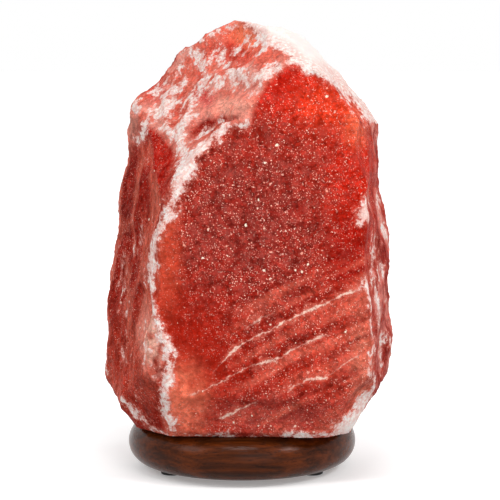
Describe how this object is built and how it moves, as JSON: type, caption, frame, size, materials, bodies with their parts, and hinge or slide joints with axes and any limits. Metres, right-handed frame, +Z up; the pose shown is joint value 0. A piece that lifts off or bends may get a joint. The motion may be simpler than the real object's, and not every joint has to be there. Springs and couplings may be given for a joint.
{
  "type": "salt crystal lamp",
  "caption": "Rough-hewn block of rock salt on a round turned wooden base, with a clip-in lamp holder and a small screw bulb inside it.",
  "frame": {"origin": "on the axis of the turned base, on the surface that the feet stand on, under the middle of the part", "axes": "+Z up, along the part's height; the flat hewn front looks along -Y; +X to the right as seen from the front"},
  "size_m": [0.1466, 0.1198, 0.2258],
  "materials": {
    "rock_salt": "satin",
    "walnut": "satin",
    "foot_rubber": "matte",
    "zinc_steel": "satin",
    "nylon_grey": "matte",
    "plate_steel": "satin",
    "black_nylon": "satin",
    "holder_black": "satin",
    "carrier_ceramic": "matte",
    "brass_shell": "satin",
    "spring_steel": "satin",
    "solder": "satin",
    "black_glass": "gloss",
    "nickel_cap": "satin",
    "clear_glass": "polished",
    "lead_wire": "satin",
    "tungsten": "matte"
  },
  "bodies": {
    "lamp_body": {"salt_crystal": "rock_salt", "wood_base": "walnut", "rubber_feet": "foot_rubber", "foot_screws": "zinc_steel", "crystal_screws": "zinc_steel", "crystal_plugs": "nylon_grey"},
    "holder": {"flange_plate": "plate_steel", "cord_bushing": "black_nylon", "holder_screws": "zinc_steel", "holder_nuts": "zinc_steel", "holder_base": "holder_black", "holder_sleeve": "holder_black", "contact_carrier": "carrier_ceramic", "thread_shell": "brass_shell", "shell_rivets": "brass_shell", "centre_contact": "brass_shell", "side_contact": "brass_shell", "terminal_screws": "zinc_steel", "clip_feet": "spring_steel", "clip_rivets": "zinc_steel"},
    "clip_wing_left": {"clip_wing_left": "spring_steel"},
    "clip_wing_right": {"clip_wing_right": "spring_steel"},
    "bulb_tip": {"bulb_tip_contact": "solder"},
    "bulb": {"bulb_insulator": "black_glass", "bulb_cap": "nickel_cap", "bulb_glass": "clear_glass", "bulb_stem": "clear_glass", "bulb_leads": "lead_wire", "bulb_filament": "tungsten"}
  },
  "joints": [
    {"name": "holder_slide", "type": "slide", "parent": "lamp_body", "child": "holder", "axis": [0, 0, -1], "range_m": [0, 0.105]},
    {"name": "clip_left_flex", "type": "hinge", "parent": "holder", "child": "clip_wing_left", "pos_m": [-0.0149, 0, 0.01497], "axis": [0, 1, 0], "range_deg": [0, 12], "stiffness_Nm_per_rad": 0.01, "springref_deg": -5.73},
    {"name": "clip_right_flex", "type": "hinge", "parent": "holder", "child": "clip_wing_right", "pos_m": [0.0149, 0, 0.01497], "axis": [0, -1, 0], "range_deg": [0, 12], "stiffness_Nm_per_rad": 0.01, "springref_deg": -5.73},
    {"name": "bulb_rise", "type": "slide", "parent": "holder", "child": "bulb_tip", "axis": [0, 0, 1], "range_m": [0, 0.0113]},
    {"name": "bulb_turn", "type": "hinge", "parent": "bulb_tip", "child": "bulb", "pos_m": [0, 0, 0.038], "axis": [0, 0, 1], "range_deg": [0, 1440]}
  ],
  "couplings": [
    {"joint": "bulb_rise", "follows": "bulb_turn", "m_per_rad": 0.0004491}
  ]
}
